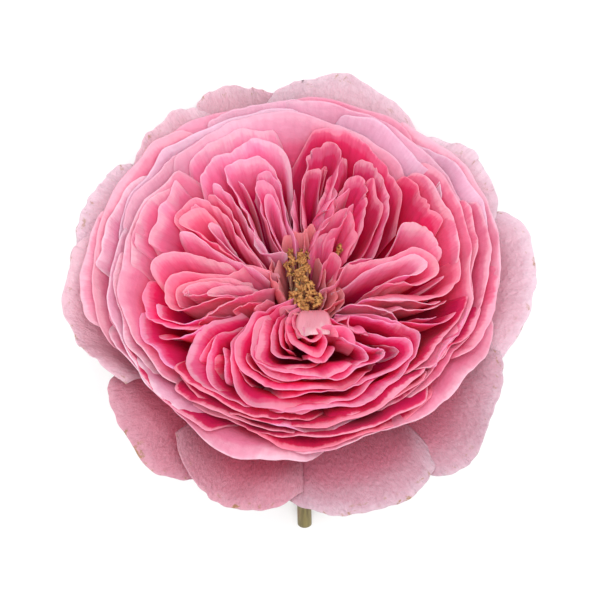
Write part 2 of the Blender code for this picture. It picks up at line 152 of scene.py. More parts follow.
# Petals that only the look has: small ones that fill the heart between the folds of the CAD model.
# Each has its name, its outline as (angle, radius), its height as a share of the cup's, and how far
# and how sharply its rim turns over (length, and angle in degrees).
FILLERS = (
    ("left_second", ((190, 13), (190.5, 19), (192, 25), (196, 30), (202, 30.6), (205.3, 27)), 0.97, 5, 18),
    ("left_heart", ((199, 11.5), (198, 16), (199.5, 20.5), (203, 21.5), (204.5, 17)), 0.98, 5, 15),
    ("left_low", ((204, 8.5), (209, 14.5), (211.5, 20.5), (211.5, 26), (210.5, 32)), 1.0, 8, 21),
    ("left_high", ((176, 15), (179, 22), (180.3, 27), (181.5, 31), (187, 33.5), (193, 34.2)), 1.0, 7, 24),
    ("upper_left_edge", ((174, 9), (172, 15), (171, 21), (170.7, 26), (173, 30.5)), 1.02, 7, 21),
    ("upper_left_heart", ((163, 13), (161.5, 18), (160.5, 22.5), (157.5, 22.8), (156, 18)), 0.97, 5, 18),
    ("upper_left_wall", ((146.5, 10), (143, 16), (141, 22), (140.5, 27), (143, 30)), 0.98, 4, 12),
    ("upper_left_back", ((136, 36.6), (148, 36.1), (160, 36), (171, 36.3), (181, 37.2)), 1.0, 8, 24),
    ("top_heart", ((120, 8), (121, 12.5), (119, 17.5), (114.5, 19.6), (110.7, 17.5), (109, 12.5)),
     0.98, 5, 18),
    ("top_second", ((100, 8.5), (101.5, 14), (103.3, 19), (106.5, 23.4), (112.5, 25.6), (120, 26)),
     0.98, 6, 18),
    ("top_side", ((135.5, 10), (136.5, 15), (136, 21), (135.5, 26), (137.5, 29.7)), 0.99, 4, 12),
    ("top_back", ((94, 35.2), (106, 34.4), (118, 35.2), (130, 35.6), (140, 36)), 1.0, 7, 24),
    ("upper_right_heart", ((84.5, 11), (84.7, 17), (84.5, 22.5), (81.5, 24.8), (78.3, 22.5)), 0.98, 5, 16.5),
    ("upper_right_flap", ((91.5, 10), (93, 14), (91.7, 18), (92.5, 22)), 0.96, 6, 24),
    ("upper_right_curl", ((67.5, 17), (68.3, 23), (67.9, 27.3), (65.3, 29.6)), 0.99, 6, 24),
    ("upper_right_third", ((60, 24.6), (55, 26.4), (47, 25.1), (38, 23), (28, 20.2), (21, 18.2)),
     0.99, 5, 18),
    ("upper_right_inner", ((68, 11), (65, 14), (59, 16.2), (52, 17.8), (44, 17), (35, 15.2), (26, 13.6)),
     0.98, 5.6, 18),
    ("upper_right_small", ((67, 8), (59, 11), (50, 12), (42, 10.8)), 0.98, 5, 21),
    ("upper_right_mouth", ((89, 8.8), (85.5, 11.8), (79, 13), (73, 12), (69.5, 9)), 0.98, 6, 24),
    ("right_low_inner", ((326, 15), (333, 22), (338.3, 27.5), (341.2, 32.6), (346.5, 35.2)), 1.0, 6, 18),
    ("right_second", ((351, 10), (355, 15), (358.3, 20.5), (358.3, 25.5), (354.4, 27.8), (350, 26.5),
     (348.5, 21)), 0.98, 6, 18),
    ("right_blunt", ((24, 4.6), (35, 6.2), (36, 8.6), (26, 9.9), (15, 9.6), (8.5, 8)), 1.0, 6.4, 18),
    ("right_wall", ((13, 8), (12, 14), (12.5, 19.3)), 0.98, 4, 15),
    ("lower_right_wall", ((322, 12), (325.6, 18), (328, 24), (330, 30)), 0.99, 5, 15),
    ("lower_right_heart", ((291, 21.5), (297, 24), (302, 27.4), (301.2, 29.8), (295, 30.2), (289, 29.8)),
     0.98, 5.6, 21),
    ("bottom_fourth", ((249, 9), (242.5, 15.5), (246.3, 21), (251.8, 25.5), (258, 28), (266, 28.5),
     (275, 28.4), (283, 28.2)), 0.98, 5.6, 18),
    ("bottom_fifth", ((252, 9.5), (247.3, 15.8), (251.2, 20.5), (256, 24.6), (262, 26.1), (270, 26.6)),
     0.98, 5, 16.5),
    ("bottom_sixth", ((255.5, 11), (251.6, 16.3), (255.8, 20.6), (261, 23.6), (267, 24.8)), 0.98, 4.6, 15),
    ("bottom_seventh", ((258, 9.5), (256, 14), (258.6, 18.6), (263.5, 22)), 0.97, 4, 15),
    ("bottom_lap", ((270, 9), (268.5, 13.5), (271.5, 18.2), (278, 21.3), (284, 19.8), (286, 14.5)),
     0.99, 6, 18),
    ("bottom_tongue", ((272, 6.5), (285, 7.2), (298, 8.2), (310, 9.6)), 1.7, 18, 69),
    ("left_void", ((196, 38.2), (206, 38.6), (214, 38.7), (222, 39.2), (230, 40.2)), 1.0, 6, 18),
    ("left_corner", ((208, 37.6), (214, 36.4), (218.5, 34.2), (221.5, 31), (222, 26)), 1.0, 6, 18),
    ("right_void", ((345, 38.4), (337, 39.2), (329, 39.5), (320, 39.8), (312, 40.4)), 1.0, 6, 18),
    ("right_corner", ((341, 36.2), (335, 36), (331, 34), (329, 31), (327, 27)), 1.0, 6, 18),
    ("close_gap", ((294, 10.6), (311, 11.2), (328, 11.8), (344, 12), (360, 11.8)), 0.8, 6, 12),
    ("close_left", ((121, 9.2), (146, 6), (193, 4.8), (229, 7)), 0.93, 4, 6),
    ("close_left_back", ((133, 10), (155, 7.4), (190, 6.6), (222, 8.6)), 0.98, 4, 18),
    ("close_right", ((62, 9.9), (38, 7), (0, 6), (321, 7.4), (301, 9.5)), 0.84, 4, 6),
    ("close_right_back", ((18, 8.4), (0, 7.8), (335, 8.6), (315, 10)), 0.9, 6, 18),
    ("close_low", ((292, 10.5), (306, 9.6), (322, 10.4), (336, 12)), 0.9, 6, 12),
    ("close_near", ((236, 7.5), (258, 8.2), (280, 8.4), (300, 8)), 0.92, 4, 12),
    ("close_far", ((118, 11.5), (104, 12), (90, 11.6), (76, 11.6)), 0.95, 4, 9),
    ("bottom_side", ((299, 13.5), (301.5, 18), (306, 22.5), (311.5, 26)), 0.98, 5, 18),
    ("lower_left_inner", ((228, 22.5), (229.3, 28), (231, 33), (234.5, 35.8), (240, 37.3), (246, 38)),
     0.99, 6, 18),
    ("bottom_back", ((254, 41.1), (264, 40.6), (275, 40.4), (286, 40.3), (297, 40)), 1.0, 8, 21),
    ("upper_right_crease_1", ((82, 11.5), (76, 14), (79, 16.6), (73, 19), (75.5, 21.8)), 1.04, 8, 27),
    ("upper_right_crease_2", ((70, 12.5), (63.5, 15), (66.5, 17.8), (60, 20.2), (61.5, 22.6)), 1.03, 8, 27),
    ("upper_right_crease_3", ((56, 12), (50, 14.6), (53.5, 17.6), (47, 19.8)), 1.02, 8, 27),
    ("bottom_between", ((244.5, 20), (249.5, 25.3), (257, 29), (266, 29.6), (275, 29.5), (284, 29.4)),
     1.0, 6, 18),
    ("lower_right_crease_1", ((286, 17.5), (291.5, 19.3), (288.5, 21.4), (294.5, 23), (293, 25.4)),
     1.02, 8, 24),
    ("lower_right_crease_2", ((303, 15.5), (308.5, 18.4), (304.5, 20.6), (311, 23.4)), 1.0, 8, 24),
)
# Folds whose look runs on beyond the CAD model's edge, to lap over the next: their further points.
LONGER = {
    "bottom_wide": ((292, 36.8), (301, 36.6), (308, 36.2)),
    "bottom_second": ((290, 34.2), (300, 34.2), (308, 33.6)),
    "bottom_third": ((292, 31), (301, 31.2)),
    "lower_right_loop": ((272, 38.4), (262, 38.7), (253, 38.4)),
    "lower_right_mid": ((272, 35.6), (263, 36), (255, 35.4)),
    "lower_right_inner": ((280, 32.1), (270, 32.4)),
}
# More ring petals, mostly on the near side: radius, middle angle and width of the arc in degrees.
RIMS = (
    (43.9, 218, 70), (43.9, 284, 80), (43.8, 346, 50), (40.5, 196, 60), (40.5, 256, 74), (40.5, 322, 66),
    (43.9, 100, 50), (40.4, 52, 60), (43.9, 32, 54), (40.4, 6, 52), (37.3, 22, 56), (40.4, 142, 56),
    (43.9, 160, 44), (37.2, 250, 70), (37.4, 330, 50), (37.4, 160, 50), (38.2, 300, 50), (47.0, 176, 44),
)
RING_SLOPE = 0.03  # how much further out each ring petal runs with every degree, so that they all lap
RING_LAP = 14  # degrees by which the look of a ring petal is wider than the CAD model's
OUTER_ROW = 45.0  # a ring petal further out than this is in the outer row
# On the near side what stands further out than this is drawn in by this share.
NEAR_REACH = 39.0
NEAR_SQUEEZE = 0.27

# The crowd is a last set of petals, which run beside the others in the heart where there is room.
CROWD_HEART = 6.5  # none stands nearer to the axis
CROWD_LEAST = 7.0  # nor is shorter
CROWD_NEAR = -9.0  # y under which they stand closer together

# First random seed of each kind of petal.
GUARD_SEED, RING_SEED, FOLD_SEED, FILLER_SEED, CROWD_SEED = 100, 200, 300, 400, 500


# ---- lines and shapes
def smooth(x):
    """0 up to x = 0, 1 from x = 1, and an even rise between."""
    x = np.clip(x, 0.0, 1.0)
    return x * x * (3 - 2 * x)


def unit(vectors):
    return vectors / np.linalg.norm(vectors, axis=-1, keepdims=True)


def around(count):
    """Evenly spaced angles of one full turn."""
    return np.linspace(0, 2 * np.pi, count, endpoint=False)


def polar(radius, angle):
    return np.stack([radius * np.cos(angle), radius * np.sin(angle)], -1)


def cup(r, phi, t):
    """Point at height fraction t (0 on the dome, 1 at the edge) of the cup of plan radius r."""
    share = np.clip((r - PLAN_INNER) / (PLAN_OUTER - PLAN_INNER), 0, 1.12)
    # How far round the dome it starts.
    psi = np.radians(12 + 74 * share**0.9)
    start_r = (DOME_RADIUS + SEAT_GAP) * np.sin(psi)
    start_z = (DOME_HEIGHT + SEAT_GAP) * np.cos(psi)
    edge_z = np.interp(r, *zip(*EDGE_HEIGHT)) + SIDE_TILT * np.sin(phi) * smooth((r - 46) / 8)
    # It runs out before it climbs, the more so further out, and there its rim bends outwards.
    out = np.maximum(t, 1e-6) ** 0.8
    steep = 1.25 + 0.95 * smooth((r - 8) / 34)
    rho = start_r + (r - start_r) * out + 2.4 * smooth((r - 30) / 18) * t**8
    z = start_z + (edge_z - start_z) * out**steep - 1.0 * smooth((r - 34) / 14) * t**12
    # Neighbours rise and sink together.
    z = z + (0.7 * np.sin(5 * phi + 1) + 0.5 * np.sin(8 * phi + 2.5)) * (rho / 50) ** 2
    return np.concatenate([polar(rho, phi), z[..., None]], -1)


def measured(line):
    """How far along a line each of its points is."""
    return np.concatenate([[0], np.cumsum(np.linalg.norm(np.diff(line, axis=0), axis=1))])


def sampled(reach, values, where):
    """Rows of values, known at the distances in reach, read off at others."""
    return np.stack([np.interp(where, reach, column) for column in values.T], -1)


def evenly(line, count):
    """This many evenly spaced points on a line."""
    reach = measured(line)
    return sampled(reach, line, np.linspace(0, reach[-1], count))


def resampled(line):
    """The same line with its points SPACING apart, but with 8 of them at least."""
    return evenly(line, max(int(measured(line)[-1] / SPACING), 8))


def plan_line(points):
    """A petal's outline in plan: a smooth curve through its (angle, radius) points."""
    angles, radii = np.array(points, float).T
    knots = polar(radii, np.radians(angles))
    ends = np.vstack([2 * knots[0] - knots[1], knots, 2 * knots[-1] - knots[-2]])
    t = np.linspace(0, 1, 24, endpoint=False)[:, None]
    dense = [0.5 * (2 * b + (c - a) * t + (2 * a - 5 * b + 4 * c - d) * t**2 + (3 * b - a - 3 * c + d) * t**3)
             for a, b, c, d in zip(ends, ends[1:], ends[2:], ends[3:])]
    return resampled(evenly(np.vstack([*dense, knots[-1]]), 400))


def ring_line(radius, centre_angle, width):
    """A ring petal's outline, as wide as this, on a slow spiral about the rings' own centre."""
    turn = np.linspace(-width / 2, width / 2, 60)
    line = polar(radius + RING_SLOPE * turn, np.radians(centre_angle + turn)) + RING_CENTRE
    far_out = np.hypot(*line.T)
    closer = NEAR_SQUEEZE * np.maximum(far_out - NEAR_REACH, 0) * smooth(-1.3 * line[:, 1] / far_out)
    return resampled(line * (1 - closer / far_out)[:, None])


def outer_side(line):
    """1 if a loop's outer side is on the right of its outline, where that runs anticlockwise, or -1."""
    before = np.roll(line, 1, axis=0)
    return 1.0 if (before[:, 0] * line[:, 1] - before[:, 1] * line[:, 0]).sum() > 0 else -1.0


def crowded(lines, bases, offset, room):
    """New outlines, added to lines, that run beside the bases where no other outline is closer than room."""
    made = []
    for base in bases:
        along = unit(np.gradient(base, axis=0))
        right = np.stack([along[:, 1], -along[:, 0]], -1)
        for side in (-1, 1):
            line = base + side * offset * right
            others = np.vstack([other for other in lines if other is not base])
            gap = np.linalg.norm(line[:, None] - others[None], axis=-1).min(1)
            own = np.linalg.norm(line[:, None] - base[None], axis=-1).min(1)
            free = (gap > room) & (own > 0.93 * offset) & (np.hypot(*line.T) > CROWD_HEART)
            runs = np.flatnonzero(np.diff(np.concatenate([[0], free.astype(int), [0]])))
            if not len(runs):
                continue
            first, last = max(zip(runs[::2], runs[1::2]), key=lambda run: run[1] - run[0])
            if (last - first) * SPACING < CROWD_LEAST:
                continue
            kept = line[first:last]
            # The offset line is smoothed a little, as a petal has no sharp corner.
            for _ in range(4):
                kept[1:-1] = 0.25 * kept[:-2] + 0.5 * kept[1:-1] + 0.25 * kept[2:]
            lines.append(resampled(kept))
            made.append(lines[-1])
    return made


def tube(centres, radii, sides):
    """Closed body around a line of centres, with a flat cap at each end."""
    along = unit(np.gradient(centres, axis=0))
    side = unit(np.cross(along, (1.0, 0.0, 0.0)))
    other = np.cross(along, side)
    points = [c + r * (math.cos(a) * s + math.sin(a) * o)
              for c, s, o, r in zip(centres, side, other, radii) for a in around(sides)]
    faces = [tuple(range(sides - 1, -1, -1)), tuple(range(len(points) - sides, len(points)))]
    for j in range(len(centres) - 1):
        for i in range(sides):
            a, b = j * sides + i, j * sides + (i + 1) % sides
            faces.append((a, b, b + sides, a + sides))
    return np.array(points), faces


def lathed(profile, sides):
    """Closed body of a profile turned about z: (radius, height) points that start and end on the axis."""
    turn = around(sides)
    rows = [np.column_stack([polar(r, turn), np.full(sides, z)]) for r, z in profile[1:-1]]
    points = np.vstack([(0, 0, profile[0, 1]), *rows, (0, 0, profile[-1, 1])])
    last = len(points) - 1
    pairs = [(i, (i + 1) % sides) for i in range(sides)]
    faces = [(0, 1 + b, 1 + a) for a, b in pairs]
    faces += [(last, last - sides + a, last - sides + b) for a, b in pairs]
    for row in range(1, last - sides, sides):
        faces += [(row + a, row + b, row + sides + b, row + sides + a) for a, b in pairs]
    return points, faces


def normals(grid):
    normal = np.cross(np.gradient(grid, axis=1), np.gradient(grid, axis=0))
    return normal / (np.linalg.norm(normal, axis=-1, keepdims=True) + 1e-9)


def shell(grid, thick):
    """Closed sheet around a grid of points: one side's points, then the other's, and the faces."""
    half = 0.5 * thick[..., None] * normals(grid)
    body = np.concatenate([(grid + half).reshape(-1, 3), (grid - half).reshape(-1, 3)])
    rows, columns = grid.shape[:2]
    count = rows * columns
    j, i = np.mgrid[0 : rows - 1, 0 : columns - 1]
    a = (j * columns + i).ravel()
    quads = np.stack([a, a + 1, a + 1 + columns, a + columns], -1)
    faces = quads.tolist() + (quads[:, ::-1] + count).tolist()
    border = list(range(columns)) + [k * columns + columns - 1 for k in range(1, rows)]
    border += [(rows - 1) * columns + k for k in range(columns - 2, -1, -1)]
    border += [k * columns for k in range(rows - 2, 0, -1)]
    return body, faces + [(q, p, count + p, count + q) for p, q in zip(border, border[1:] + border[:1])]


def merged(bodies):
    """Several closed bodies as one list of points and one of faces."""
    faces, count = [], 0
    for body, sides in bodies:
        faces += [tuple(i + count for i in side) for side in sides]
        count += len(body)
    return np.vstack([body for body, _ in bodies]), faces


def waves(rng, u, count, low, high):
    """A smooth random curve of u, within about -1 to 1."""
    total = 0
    for _ in range(count):
        total = total + rng.uniform(0.5, 1) * np.sin(rng.uniform(low, high) * u + rng.uniform(0, 6.28))
    return total / count


def stem_line(count):
    """Centre line of the stem, from under the hip: straight at first, then leaning to the near side."""
    points, at = [], np.array([0.0, 0.0, -HIP_DEPTH - SEAT_GAP])
    step = STEM_LENGTH / (count - 1)
    for i in range(count):
        points.append(at)
        lean = STEM_BEND * smooth(i * step / STEM_CURVE)
        at = at + step * np.array([0.02, -math.sin(lean), -math.cos(lean)])
    return np.array(points)


def stem_swell(share):
    """How much thicker the stem is just under the hip, at each share of its length."""
    return 0.2 * (1 - smooth(share / 0.15))


# ---- attitude, place and bends
def rest_turn():
    """Rotation from the head frame to the attitude at rest."""
    lean, roll = -REST_LEAN, REST_ROLL
    about_x = np.array([[1, 0, 0], [0, math.cos(lean), -math.sin(lean)], [0, math.sin(lean), math.cos(lean)]])
    about_y = np.array([[math.cos(roll), 0, math.sin(roll)], [0, 1, 0], [-math.sin(roll), 0, math.cos(roll)]])
    return about_y @ about_x


TURN = rest_turn()
# The floor in the turned head's frame is the lowest point of the CAD model's stem, and the turned
# head moves by SHIFT to bring that stem to its place in the shared frame.
rows, sides = 14, 14
cad_radii = STEM_RADIUS * (1 + stem_swell(np.linspace(0, 1, rows)))
cad_stem = tube(stem_line(rows), cad_radii, sides)[0] @ TURN.T
FLOOR = cad_stem[:, 2].min()
stem_low, stem_high = (np.array(corner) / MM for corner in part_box("stem"))
SHIFT = (stem_low + stem_high) / 2 - (cad_stem.min(0) + cad_stem.max(0)) / 2


def placed(points):
    """Head-frame millimetres to the shared frame's metres."""
    return (points @ TURN.T + SHIFT) * MM


def flattened(points):
    """Head-frame points with what lies under the floor pressed up against it."""
    turned = points @ TURN.T
    depth = turned[..., 2] - FLOOR - GIVES_WAY
    turned[..., 2] += (1 - FLATTENED) * 0.5 * (np.sqrt(depth**2 + 0.5) - depth)
    return turned @ TURN


def crumpled(points):
    """The whole head pushed about a little, so that neighbours swerve together and nothing is regular."""
    x, y, z = points[..., 0], points[..., 1], points[..., 2]
    amount = smooth((z - 5) / 22) * (1 - 0.55 * smooth((np.hypot(x, y) - 40) / 12))
    dx = 0.55 * np.sin(0.28 * x + 0.21 * y + 0.5) + 0.22 * np.sin(-0.36 * x + 0.52 * y + 2.0)
    dy = 0.55 * np.sin(0.26 * y - 0.19 * x + 1.3) + 0.22 * np.sin(0.50 * x + 0.41 * y + 0.7)
    dz = 0.8 * np.sin(0.24 * x - 0.18 * y + 2.2) + 0.5 * np.sin(0.25 * x + 0.44 * y + 4.0)
    return points + amount[..., None] * np.stack([dx, dy, dz], -1)


def turned_over(grid, length, angle, side):
    """The last part of each column, of this length, bent over towards one side."""
    normal = side * normals(grid)
    bent = grid.copy()
    for i in range(grid.shape[1]):
        reach = measured(grid[:, i])
        start = max(reach[-1] - length[i], 0.3 * reach[-1])
        base, out = sampled(reach, grid[:, i], start), sampled(reach, normal[:, i], start)
        up = unit(base - sampled(reach, grid[:, i], start - 0.6))
        radius = length[i] / max(angle[i], 0.05)
        turn = (np.maximum(reach - start, 0) / radius)[:, None]
        over = base + radius * (np.sin(turn) * up + (1 - np.cos(turn)) * out)
        bent[:, i] = np.where(turn > 0, over, grid[:, i])
    return bent


# ---- materials
class Net:
    """Short hand for building a material's node tree."""

    def __init__(self, name):
        self.material = bpy.data.materials.new(name)
        self.material.use_nodes = True
        self.nodes, self.links = self.material.node_tree.nodes, self.material.node_tree.links
        self.nodes.clear()

    def node(self, kind, inputs=None, **settings):
        made = self.nodes.new("ShaderNode" + kind)
        for key, value in settings.items():
            setattr(made, key, value)
        for key, value in (inputs or {}).items():
            if isinstance(value, bpy.types.NodeSocket):
                self.links.new(value, made.inputs[key])
            elif isinstance(value, tuple) and made.inputs[key].type == "RGBA" and len(value) == 3:
                made.inputs[key].default_value = (*value, 1)
            else:
                made.inputs[key].default_value = value
        return made

    def math(self, operation, a, b):
        return self.node("Math", {0: a, 1: b}, operation=operation).outputs[0]

    def mix(self, factor, a, b, blend="MIX"):
        made = self.node("Mix", {0: factor, 6: a, 7: b}, data_type="RGBA", blend_type=blend)
        return made.outputs[2]

    def ramp(self, factor, *stops):
        """A colour, or a number, for each factor between the stops."""
        made = self.node("ValToRGB", {0: factor})
        made.color_ramp.interpolation = "EASE"
        while len(made.color_ramp.elements) < len(stops):
            made.color_ramp.elements.new(0.5)
        for element, (at, colour) in zip(made.color_ramp.elements, stops):
            element.position = at
            element.color = (*colour, 1) if isinstance(colour, tuple) else (colour, colour, colour, 1)
        return made.outputs[0]

    def noise(self, place, scale, detail=3.0, roughness=0.55):
        return self.node("TexNoise", {
            "Vector": place, "Scale": scale, "Detail": detail, "Roughness": roughness}).outputs[0]

    def stretched(self, values, scales):
        """A place to read noise at, from three values that are scaled differently."""
        parts = [self.math("MULTIPLY", value, scale) for value, scale in zip(values, scales)]
        return self.node("CombineXYZ", dict(enumerate(parts))).outputs[0]

    def wandering(self, value, noise, amount):
        """The value moved up where the noise is over a half, and down where it is under."""
        return self.math("ADD", value, self.math("MULTIPLY", self.math("SUBTRACT", noise, 0.5), amount))

    def bump(self, height, strength, distance, **inputs):
        return self.node("Bump", {
            "Strength": strength, "Distance": distance, "Height": height, **inputs}).outputs[0]

    def finish(self, shader):
        self.node("OutputMaterial", {"Surface": shader})
        return self.material


def petal_material(name, deep, middle, pale, edge, back, light, blemish=0.0, crease=0.35, rim=0.99):
    """A petal: deep at the claw and paler at the edge, with veins, and with light coming through it.

    The colour attribute "place" holds where a point is: across, along (1 at the rim, and less by
    its distance from there over FADE), the petal's own seed, and 0 on its inner face or 1 on its
    back. back is that side's colour. light is the share of light that comes through, blemish how
    brown the spots at the rim are, crease how strongly the face is creased, and rim where along
    the petal its edge colour is reached.
    """
    n = Net(name)
    place = n.node("Attribute", attribute_name="place")
    point = tuple(n.node("SeparateColor", {0: place.outputs["Color"]}).outputs)
    _, along, seed = point
    broad = n.stretched(point, (4.0, 3.0, 91.0))
    clouds = n.noise(broad, 1.2)
    veins = n.noise(n.stretched(point, (30.0, 2.6, 57.0)), 1.7, 4.0, 0.6)
    creases = n.noise(n.stretched(point, (30.0, 9.0, 77.0)), 1.6, 4.0)
    reach = n.wandering(n.wandering(along, clouds, 0.30), veins, 0.07)
    # From claw to rim: the deep colour is partly the petal's own and partly painted shade for the crevices,
    # and the pale edge partly its own margin and partly a painted highlight where the rims catch the light.
    face = n.ramp(reach, (0.40, deep), (rim - 0.15, middle), (rim - 0.06, pale), (rim, edge))
    outside = n.ramp(reach, (0.10, deep), (0.60, back), (0.90, back), (0.98, edge))
    colour = n.mix(place.outputs["Alpha"], face, outside)
    # The veins are a little darker, and no two petals have quite the same hue.
    dark = n.ramp(veins, (0.32, (0.90, 0.80, 0.84)), (0.62, (1.04, 1.04, 1.04)))
    hue = n.ramp(seed, (0.0, (1.02, 0.85, 0.89)), (0.5, (1.0, 1.0, 1.0)), (1.0, (0.99, 1.14, 1.12)))
    colour = n.mix(1.0, n.mix(0.3, colour, dark, "MULTIPLY"), hue, "MULTIPLY")
    if blemish:
        spots = n.ramp(n.noise(broad, 4.5, 5.0, 0.7), (0.57, 0.0), (0.66, 1.0))
        amount = n.math("MULTIPLY", spots, n.ramp(along, (0.84, 0.0), (0.99, 1.0)))
        colour = n.mix(n.math("MULTIPLY", amount, blemish), colour, (0.45, 0.27, 0.12))
    lift = n.bump(creases, crease, 0.0008, Normal=n.bump(veins, 0.25, 0.0004))
    skin = n.node("BsdfPrincipled", {
        "Base Color": colour, "Roughness": 0.60, "Specular IOR Level": 0.22, "Sheen Weight": 0.05,
        "Sheen Roughness": 0.5, "Normal": lift}).outputs[0]
    through = n.mix(1.0, colour, (1.0, 0.50, 0.72), "MULTIPLY")
    glow = n.node("BsdfTranslucent", {"Color": through}).outputs[0]
    return n.finish(n.node("MixShader", {0: light, 1: skin, 2: glow}).outputs[0])


def plant_material(name, dark, light, blush, grain=(700.0, 700.0, 90.0), rough=0.5, bump=0.3, inner=None):
    """A green part: streaked along its length, mottled, and blushed here and there.

    The vector attribute "own" holds the point in the part's own frame, in metres, z along it.
    inner is the colour above z = 0, if it differs there.
    """
    n = Net(name)
    own = n.node("Attribute", attribute_name="own").outputs["Vector"]
    stretched = n.node("VectorMath", {0: own, 1: grain}, operation="MULTIPLY").outputs[0]
    streaks = n.noise(stretched, 1.0, 5.0)
    colour = n.mix(n.ramp(streaks, (0.3, 0.0), (0.7, 1.0)), dark, light)
    mottle = n.ramp(n.noise(own, 240.0), (0.45, 0.0), (0.72, 1.0))
    colour = n.mix(n.math("MULTIPLY", mottle, 0.55), colour, blush)
    if inner:
        height = n.node("SeparateXYZ", {0: own}).outputs[2]
        above = n.ramp(n.math("MULTIPLY", height, 300.0), (0.0, 0.0), (0.6, 1.0))
        colour = n.mix(above, colour, inner)
    shader = n.node("BsdfPrincipled", {
        "Base Color": colour, "Roughness": rough, "Subsurface Weight": 0.08,
        "Subsurface Radius": (0.001, 0.002, 0.0005), "Normal": n.bump(streaks, bump, 0.0004)}).outputs[0]
    return n.finish(shader)


# Colours of a petal: deep, middle, pale and edge on its face, and its back.
GUARD_LOOK = petal_material(
    "guard petal", (0.78, 0.37, 0.46), (0.78, 0.5, 0.58), (0.8, 0.56, 0.64), (0.83, 0.62, 0.69),
    (0.78, 0.47, 0.56), 0.3, blemish=0.75, crease=0.8)
# Painted shade: the near-side guards are darker, partly their own dusky tone and partly the shade under the
# bloom painted in.
DUSKY_SHADED_GUARD_LOOK = petal_material(
    "dusky guard petal with painted shade", (0.7, 0.24, 0.33), (0.68, 0.38, 0.46), (0.69, 0.43, 0.51), (0.73, 0.5, 0.57),
    (0.68, 0.32, 0.41), 0.3, blemish=0.9, crease=0.9)
# Painted light: the far-side ring petals are paler for the light that falls on that side.
LIT_FAR_RING_LOOK = petal_material(
    "far ring petal with painted light", (0.86, 0.15, 0.33), (0.84, 0.44, 0.61), (0.86, 0.5, 0.66), (0.88, 0.59, 0.72),
    (0.86, 0.39, 0.57), 0.38)
RING_LOOK = petal_material(
    "ring petal", (0.88, 0.05, 0.18), (0.86, 0.3, 0.48), (0.87, 0.45, 0.6), (0.92, 0.66, 0.76),
    (0.86, 0.34, 0.52), 0.4)
# Painted shade: the near-side ring petals are darkened to the crimson of the shade between their rims.
SHADED_NEAR_RING_LOOK = petal_material(
    "near ring petal with painted shade", (0.58, 0.001, 0.06), (0.6, 0.005, 0.09), (0.7, 0.02, 0.12), (0.93, 0.36, 0.5),
    (0.84, 0.12, 0.26), 0.36)
SIDE_RING_LOOK = petal_material(
    "right ring petal", (0.88, 0.016, 0.13), (0.85, 0.14, 0.3), (0.86, 0.26, 0.43), (0.93, 0.55, 0.68),
    (0.87, 0.27, 0.45), 0.4)
FOLD_LOOK = petal_material(
    "fold petal", (0.98, 0.006, 0.21), (0.97, 0.25, 0.53), (0.97, 0.43, 0.68), (0.98, 0.64, 0.81),
    (0.97, 0.42, 0.66), 0.64)
# Painted shade and highlight: the near folds turn deep just below the rim for the shade in their crevices,
# and their edge is paler for the light the rims catch.
NEAR_FOLD_SHADE_AND_HIGHLIGHT_LOOK = petal_material(
    "near fold petal with painted shade and highlight", (0.99, 0.003, 0.28), (0.98, 0.07, 0.38), (0.98, 0.32, 0.62), (0.99, 0.8, 0.94),
    (0.98, 0.42, 0.67), 0.74, rim=0.97)
PALE_FOLD_LOOK = petal_material(
    "pale fold petal", (0.98, 0.01, 0.25), (0.98, 0.36, 0.6), (0.98, 0.57, 0.75), (0.99, 0.8, 0.87),
    (0.98, 0.55, 0.74), 0.66, rim=0.97)
DEEP_FOLD_LOOK = petal_material(
    "deep fold petal", (0.94, 0.003, 0.14), (0.86, 0.06, 0.24), (0.87, 0.2, 0.4), (0.95, 0.52, 0.67),
    (0.87, 0.22, 0.42), 0.58)
TONGUE_LOOK = petal_material(
    "tongue petal", (0.97, 0.34, 0.44), (0.97, 0.48, 0.58), (0.98, 0.66, 0.72), (0.99, 0.8, 0.82),
    (0.97, 0.55, 0.64), 0.5)
CLOSE_LOOK = petal_material(
    "inmost petal", (0.8, 0.12, 0.16), (0.9, 0.3, 0.34), (0.92, 0.4, 0.44), (0.95, 0.52, 0.56),
    (0.92, 0.4, 0.44), 0.6)
STEM_LOOK = plant_material("stem", (0.1, 0.07, 0.025), (0.27, 0.22, 0.08), (0.24, 0.12, 0.05))
CUT_LOOK = plant_material("cut end", (0.32, 0.33, 0.14), (0.66, 0.62, 0.42), (0.4, 0.3, 0.14), rough=0.7)
HIP_LOOK = plant_material(
    "hip", (0.12, 0.17, 0.05), (0.26, 0.33, 0.12), (0.27, 0.22, 0.09), inner=(0.5, 0.07, 0.09))
SEPAL_LOOK = plant_material(
    "sepal", (0.11, 0.16, 0.05), (0.26, 0.32, 0.13), (0.3, 0.22, 0.11), grain=(500.0, 500.0, 160.0),
    rough=0.6, bump=0.4)
ANTHER_LOOK = plant_material(
    "anther", (0.22, 0.08, 0.022), (0.6, 0.31, 0.09), (0.38, 0.13, 0.04),
    grain=(1500.0, 1500.0, 1500.0), rough=0.75, bump=0.6)
FILAMENT_LOOK = plant_material("filament", (0.62, 0.26, 0.2), (0.8, 0.56, 0.32), (0.66, 0.24, 0.22))
STYLE_LOOK = plant_material("style", (0.52, 0.34, 0.16), (0.7, 0.6, 0.3), (0.62, 0.26, 0.22))


# ---- pieces
def linked(name, data):
    """A new object in the scene."""
    made = bpy.data.objects.new(name, data)
    bpy.context.scene.collection.objects.link(made)
    return made


